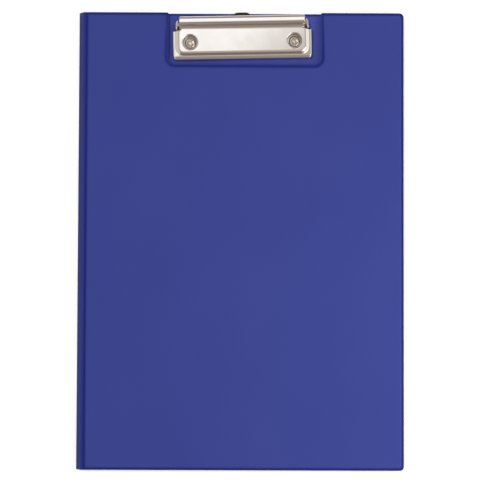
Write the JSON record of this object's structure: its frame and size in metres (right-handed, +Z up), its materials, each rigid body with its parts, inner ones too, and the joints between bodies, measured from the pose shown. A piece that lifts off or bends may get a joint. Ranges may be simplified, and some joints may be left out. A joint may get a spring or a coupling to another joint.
{
  "type": "clipboard folder",
  "caption": "A4 clipboard folder: film-covered back board with a sprung steel lever clip and pull-out hanging loop, and a fold-over cover notched round the clip.",
  "frame": {"origin": "middle of the flat back face, where the folder lies on a table", "axes": "+X across the folder from the spine to its free edge, +Y along its length towards the clip, +Z up out of the cover"},
  "size_m": [0.228, 0.3204, 0.0165],
  "materials": {
    "blue_film": "soft PVC film, fine grain, satin",
    "grey_board": "bare grey board",
    "plated_steel": "bright nickel plate on pressed steel",
    "rivet_steel": "nickel plate, clinched",
    "spring_steel": "oiled spring wire",
    "black_plastic": "moulded, slightly glossy"
  },
  "bodies": {
    "back": {"back_board": "grey_board", "back_outer_film": "blue_film", "back_inner_film": "blue_film", "back_crease_film": "blue_film", "clip_base": "plated_steel", "clip_pivot_rod": "plated_steel", "clip_rivet_left": "rivet_steel", "clip_rivet_right": "rivet_steel", "clip_spring_left": "spring_steel", "clip_spring_right": "spring_steel"},
    "clip_jaw": {"clip_jaw_plate": "plated_steel"},
    "hanger": {"hanging_loop": "black_plastic"},
    "spine": {"spine_outer_film": "blue_film", "spine_inner_film": "blue_film", "front_crease_film": "blue_film"},
    "cover": {"cover_board": "grey_board", "cover_outer_film": "blue_film", "cover_inner_film": "blue_film", "inside_pocket": "blue_film"}
  },
  "joints": [
    {"name": "spine_fold", "type": "hinge", "parent": "back", "child": "spine", "pos_m": [-0.11365, 0, 0.00145], "axis": [0, -1, 0], "range_deg": [0, 124.42], "deforming": ["back_crease_film"]},
    {"name": "cover_fold", "type": "hinge", "parent": "spine", "child": "cover", "pos_m": [-0.11045, 0, 0.00665], "axis": [0, -1, 0], "range_deg": [0, 55.59], "deforming": ["front_crease_film"]},
    {"name": "clip_open", "type": "hinge", "parent": "back", "child": "clip_jaw", "pos_m": [0.00058, 0.1498, 0.007], "axis": [-0.9998, -0.0209, 0], "range_deg": [0, 21], "stiffness_Nm_per_rad": 0.25, "springref_deg": -89.95, "deforming": ["clip_spring_left", "clip_spring_right"]},
    {"name": "hanger_slide", "type": "slide", "parent": "back", "child": "hanger", "axis": [-0.0209, 0.9998, 0], "range_m": [0, 0.013]}
  ],
  "couplings": [
    {"joint": "cover_fold", "follows": "spine_fold", "ratio": 0.44666}
  ]
}
